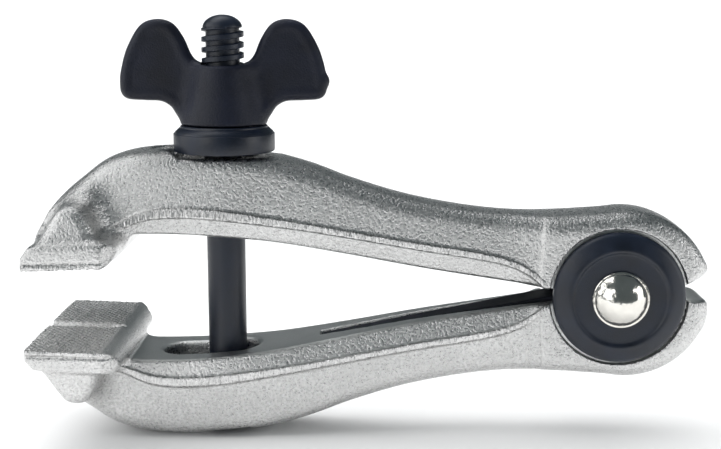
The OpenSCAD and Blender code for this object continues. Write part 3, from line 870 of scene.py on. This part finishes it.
def ring_profile():
    """Half section of the seat ring: rounded sole, turned side with a fine step under the
    chamfer, and a bore that clears the thread."""
    height = RING_HIGH[2] - RING_LOW[2]
    radius = (RING_HIGH[0] - RING_LOW[0]) / 2
    sole_r = 80.0
    x = np.linspace(BORE_R, radius - 0.35, 12)
    sole = np.stack([x, sole_r - np.sqrt(sole_r * sole_r - x * x)], 1)
    low = sole[-1, 1]
    side = [(radius - 0.1, low + 0.12), (radius, low + 0.4), (radius, height - 1.62),
            (radius - 0.05, height - 1.5), (radius - 0.22, height - 1.42),
            (radius - 0.3, height - 1.2), (radius - 1.15, height - 0.42),
            (radius - 1.3, height - 0.38), (radius - 1.36, height - 0.12), (radius - 1.5, height),
            (BORE_R + 0.2, height), (BORE_R, height - 0.2), (BORE_R, sole[0, 1])]
    return np.vstack([sole, side])


def thread_shape():
    """The screw above its cross head. The radius is a function of angle and height: it follows
    the plain shank, then a ridge that climbs one pitch a turn with steep flanks and a flat crest,
    and it closes over the domed end."""
    screw = bpy.context.scene.vice_screw
    pitch, outer = screw.thread_pitch / MM, screw.thread_diameter / MM / 2
    root, shank = outer - screw.thread_depth / MM, screw.shank_diameter / MM / 2
    top = SCREW_HIGH[2]
    start = RING_LOW[2] - 6.5
    tip = 2.5
    shoulder = top - tip
    z = np.concatenate([np.linspace(HEAD_Z, start - 1.0, 30), np.arange(start - 0.9, shoulder, 0.06),
                        top - tip * (1 - np.sin(np.linspace(0.04, 1.55, 26)))])
    turn = np.linspace(0, 2 * np.pi, 96, endpoint=False)
    phase = (z[:, None] / pitch - turn[None, :] / (2 * np.pi)) % 1.0
    ridge = ramp(phase, 0.20, 0.29) * (1 - ramp(phase, 0.71, 0.80))
    fade = ramp(z, start, start + 1.4) * (1 - ramp(z, shoulder - 0.1, shoulder + 0.9))
    threaded = root + (outer - root) * ridge * fade[:, None]
    below = 1 - ramp(z, start - 0.6, start + 0.3)[:, None]
    radius = threaded * (1 - below) + shank * below
    dome = np.clip((z - shoulder) / tip, 0.0, 1.0)[:, None]
    over = (root + 0.55 * ramp(z, shoulder - 0.5, shoulder + 0.2))[:, None] * np.sqrt(1 - dome ** 2)
    radius = np.where(dome > 0, over, radius)
    points = np.stack([radius * np.cos(turn), radius * np.sin(turn),
                       np.broadcast_to(z[:, None], radius.shape)], 2)
    return grid_shape(points)


def cross_head_profile():
    """Half section of the cross head: a short round bar with turned-off ends."""
    half = HEAD_HALF
    radius = 4.5
    return [(0.02, -half), (radius - 0.7, -half), (radius - 0.2, -half + 0.2), (radius, -half + 0.7),
            (radius, half - 0.7), (radius - 0.2, half - 0.2), (radius - 0.7, half), (0.02, half)]


# ---- Wing nut ----

# Side view of a wing, and the hub's radius at its foot, taper and height
WING = [(2.5, 10.4), (5.0, 11.3), (6.1, 13.6), (7.4, 16.6), (9.4, 19.2), (12.4, 20.0), (15.6, 18.8),
        (18.2, 14.6), (19.5, 10.4), (19.75, 7.9), (19.5, 6.0), (18.2, 4.9), (15.0, 4.65), (12.0, 4.5),
        (10.2, 3.6), (9.0, 2.1), (7.4, 0.9)]
HUB_R, HUB_TAPER, HUB_TOP = 7.8, 0.215, 11.4


class WingNutField:
    """The cast wing nut as a field: a cone for the hub, two flat wings that thin towards their
    rims, all run together in soft fillets, with the bore cut out. One wing carries a small round
    sprue mark on its outer edge."""

    def __init__(self):
        self.wing = Outline(np.vstack([through(WING, 8), [(2.5, 0.9)]]), step=0.2, margin=5.0)

    def __call__(self, x, y, z):
        radius = np.sqrt(x * x + y * y)
        cone = (radius - (HUB_R - HUB_TAPER * z)) * 0.977
        hub = soft_max(soft_max(cone, z - HUB_TOP, 0.9), -z, 0.9)
        wing = self.wing(np.abs(x), z)
        sprue = np.sqrt((x - 18.5) ** 2 + (z - 8.3) ** 2) - 1.75
        wing = soft_min(wing, sprue, 0.5)
        thick = 1.8 - 0.03 * np.maximum(np.abs(x) - 6.0, 0) - 0.28 * ramp(-wing, 0.9, 2.8)
        wings = soft_max(wing, np.abs(y) - thick, 2.0)
        nut = soft_min(hub, wings, 2.6)
        nut = soft_max(nut, -z, 0.5)
        chamfer = 0.5 - np.minimum(np.abs(z), np.abs(HUB_TOP - z))
        bore = BORE_R - radius + np.maximum(chamfer, 0)
        return soft_max(nut, bore, 0.25)


# ---- Stage ----

# Points that the lights face, in metres
MIDDLE = (0.0, 0.0, 0.035)
BEHIND = (0.0, 0.75, 0.0)
BACKDROP_FOOT = (0.0, 2.40, 0.1)
# Name, place, aim, width and height, power in watts, and whether bright metal mirrors it
LIGHTS = [
    ("left_softbox", (-0.51, -0.54, 0.27), MIDDLE, (0.50, 0.52), 1.45, True),
    ("side_softbox", (-0.66, -0.02, 0.34), MIDDLE, (0.42, 0.5), 1.25, True),
    ("top_softbox", (-0.2, 0.14, 0.62), MIDDLE, (0.7, 0.3), 1.25, True),
    ("right_fill", (0.62, -0.16, 0.16), MIDDLE, (0.3, 0.3), 0.7, True),
    ("ceiling", (0.0, 0.75, 1.6), BEHIND, (3.4, 2.9), 66.0, False),
    ("back_wash", (0.0, 1.20, 0.75), BACKDROP_FOOT, (3.2, 0.4), 14.0, False),
]
# Camera: place in millimetres from the hinge axis, turn to the left and tilt down in radians
CAMERA_PLACE = (-45.366, -240.586, 54.992)
CAMERA_TURN, CAMERA_TILT = 0.0149, 0.1745


def area_light(name, place, aim, size, power, mirrored):
    """A rectangular soft light that faces a point. Light that isn't mirrored falls on the paper
    and isn't seen in bright metal, as if a black flag hung between them."""
    data = bpy.data.lights.new(name, "AREA")
    data.shape = "RECTANGLE"
    data.size, data.size_y = size
    data.energy = power
    light = bpy.data.objects.new(name, data)
    light.location = place
    light.visible_glossy = mirrored
    light.rotation_euler = (Vector(aim) - Vector(place)).to_track_quat("-Z", "Y").to_euler()
    bpy.context.scene.collection.objects.link(light)


def stage_floor():
    """A pale sheet that lies flat under the vice and rises in a round bend behind it: the height
    is a function of the distance back, and the same all along its width."""
    front, bend_start, bend_r, top, half = -0.18, 2.2, 0.12, 0.16, 2.2
    angle = np.linspace(0, np.pi / 2, 24)
    y = np.concatenate([[front], bend_start + bend_r * np.sin(angle), [bend_start + bend_r]])
    z = np.concatenate([[0.0], bend_r * (1 - np.cos(angle)), [top]])
    points = np.stack([np.tile([-half, half], len(y)), np.repeat(y, 2), np.repeat(z, 2)], 1)
    row = np.arange(len(y) - 1) * 2
    faces = np.stack([row, row + 1, row + 3, row + 2], 1)
    n = Nodes("pale_paper")
    tone = n.mix(n.spread(n.noise(0.5, 2.0), 0.3, 0.7), (0.86, 0.86, 0.86, 1), (0.90, 0.90, 0.90, 1))
    paper = n.finish(Base_Color=tone, Roughness=0.8, Normal=n.bump(n.noise(0.7 * MM), 0.02 * MM, 0.2))
    floor = make_piece("pale_floor", points / MM - PIVOT, [faces], paper)


def studio_world():
    """A dim grey-green room round the lights, with pale paper wherever the camera looks past the
    floor."""
    world = bpy.data.worlds.new("studio")
    world.use_nodes = True
    tree = world.node_tree
    room = tree.nodes["Background"]
    room.inputs["Color"].default_value = (0.084, 0.10, 0.105, 1)
    paper = tree.nodes.new("ShaderNodeBackground")
    paper.inputs["Color"].default_value = (0.98, 0.98, 0.98, 1)
    path = tree.nodes.new("ShaderNodeLightPath")
    mix = tree.nodes.new("ShaderNodeMixShader")
    tree.links.new(path.outputs["Is Camera Ray"], mix.inputs["Fac"])
    tree.links.new(room.outputs["Background"], mix.inputs[1])
    tree.links.new(paper.outputs["Background"], mix.inputs[2])
    tree.links.new(mix.outputs["Shader"], tree.nodes["World Output"].inputs["Surface"])
    return world


# ---- Operators ----

class VICE_OT_arms(bpy.types.Operator):
    """Build the two forged arms with their jaws"""
    bl_idname = "vice.arms"
    bl_label = "Arms"

    def execute(self, context):
        build_arm("lower_arm", upper=False)
        build_arm("upper_arm", upper=True)
        return {"FINISHED"}


class VICE_OT_spring(bpy.types.Operator):
    """Build the hairpin leaf spring between the two arms, its legs set to their present opening"""
    bl_idname = "vice.spring"
    bl_label = "Leaf spring"

    def execute(self, context):
        vertices, faces = leaf_shape()
        spring = make_piece("hairpin_spring", vertices, faces, material("spring_steel"),
                            sharp_angle=math.radians(40))
        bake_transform(spring)
        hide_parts("leaf_spring")
        return {"FINISHED"}


class VICE_OT_hinge(bpy.types.Operator):
    """Build the two cup discs and the domed rivet through them"""
    bl_idname = "vice.hinge"
    bl_label = "Hinge"

    def execute(self, context):
        cup, cup_faces = turned(cap_profile(), 128, ring=True)
        cup = cup + (0, 0, CAP_LOW[1])
        for name, node, side in (("near_cup_disc", "near_cap", -1), ("far_cup_disc", "far_cap", 1)):
            finished(name, stand_across(cup, side), cup_faces, "black_oxide", "lower_arm", [node])
        half = rivet_profile()
        rivet, rivet_faces = turned(np.vstack([half[::-1] * (1, -1), half[1:]])[::-1])
        finished("domed_rivet", stand_across(rivet, 1), rivet_faces, "polished_steel", "lower_arm",
                 ["pivot_rivet"])
        return {"FINISHED"}


class VICE_OT_screw(bpy.types.Operator):
    """Build the swinging screw with its cross head"""
    bl_idname = "vice.screw"
    bl_label = "Screw"

    def execute(self, context):
        thread, thread_faces = thread_shape()
        finished("threaded_screw", thread + (SCREW_X, 0, 0), thread_faces, "black_oxide", "screw",
                 ["clamp_screw"])
        head, head_faces = turned(cross_head_profile()[::-1], 64)
        finished("screw_cross_head", stand_across(head, 1) + (SCREW_X, 0, HEAD_Z), head_faces,
                 "black_oxide", "screw", [])
        return {"FINISHED"}


class VICE_OT_ring(bpy.types.Operator):
    """Build the seat ring under the wing nut"""
    bl_idname = "vice.ring"
    bl_label = "Seat ring"

    def execute(self, context):
        vertices, faces = turned(ring_profile(), 128, ring=True)
        finished("turned_seat_ring", vertices + (SCREW_X, 0, RING_LOW[2]), faces, "black_oxide",
                 "ring", ["seat_ring"])
        return {"FINISHED"}


class VICE_OT_wing_nut(bpy.types.Operator):
    """Build the cast wing nut"""
    bl_idname = "vice.wing_nut"
    bl_label = "Wing nut"

    def execute(self, context):
        step = 0.26
        spans = ((-21.1, 21.2), (-9.0, 9.1), (-0.9, 21.0))
        axes = [np.arange(low, high, step) for low, high in spans]
        points, faces, normals = field_shape(WingNutField(), axes)
        finished("cast_wing_nut", points + (SCREW_X, 0, NUT_BASE), [faces], "black_casting", "nut",
                 ["wing_nut"], normals=normals, sharp_angle=None)
        return {"FINISHED"}


class VICE_OT_stage(bpy.types.Operator):
    """Build the pale floor, the soft lights and the camera"""
    bl_idname = "vice.stage"
    bl_label = "Stage"

    def execute(self, context):
        scene = context.scene
        scene.view_settings.view_transform = "Standard"
        stage_floor()
        scene.world = studio_world()
        for light in LIGHTS:
            area_light(*light)
        camera = bpy.data.cameras.new("camera")
        camera.lens = 63.1
        camera.sensor_width = 36.0
        camera.clip_start = 0.01
        camera.clip_end = 20.0
        holder = bpy.data.objects.new("camera", camera)
        holder.location = (PIVOT + CAMERA_PLACE) * MM
        holder.rotation_euler = (math.pi / 2 - CAMERA_TILT, 0.0, CAMERA_TURN)
        scene.collection.objects.link(holder)
        scene.camera = holder
        return {"FINISHED"}


class VICE_PT_panel(bpy.types.Panel):
    """Buttons and sizes of the hand vice"""
    bl_idname = "VICE_PT_panel"
    bl_label = "Hand vice"
    bl_space_type = "VIEW_3D"
    bl_region_type = "UI"
    bl_category = "Hand vice"

    def draw(self, context):
        layout = self.layout
        for operator in OPERATORS:
            layout.operator(operator.bl_idname)
        for group in GROUPS:
            settings = getattr(context.scene, group)
            box = layout.box()
            for name in settings.__annotations__:
                box.prop(settings, name)


OPERATORS = (VICE_OT_arms, VICE_OT_spring, VICE_OT_hinge, VICE_OT_screw, VICE_OT_ring,
             VICE_OT_wing_nut, VICE_OT_stage)
GROUPS = {"vice_arms": ArmSettings, "vice_screw": ScrewSettings, "vice_finish": FinishSettings}


def register():
    for cls in (*GROUPS.values(), *OPERATORS, VICE_PT_panel):
        bpy.utils.register_class(cls)
    for name, group in GROUPS.items():
        setattr(bpy.types.Scene, name, bpy.props.PointerProperty(type=group))


def unregister():
    for name in GROUPS:
        delattr(bpy.types.Scene, name)
    for cls in (VICE_PT_panel, *reversed(OPERATORS), *reversed(list(GROUPS.values()))):
        bpy.utils.unregister_class(cls)


def main():
    register()
    bpy.ops.vice.arms()
    bpy.ops.vice.spring()
    bpy.ops.vice.hinge()
    bpy.ops.vice.screw()
    bpy.ops.vice.ring()
    bpy.ops.vice.wing_nut()
    bpy.ops.vice.stage()


if __name__ == "__main__":
    main()
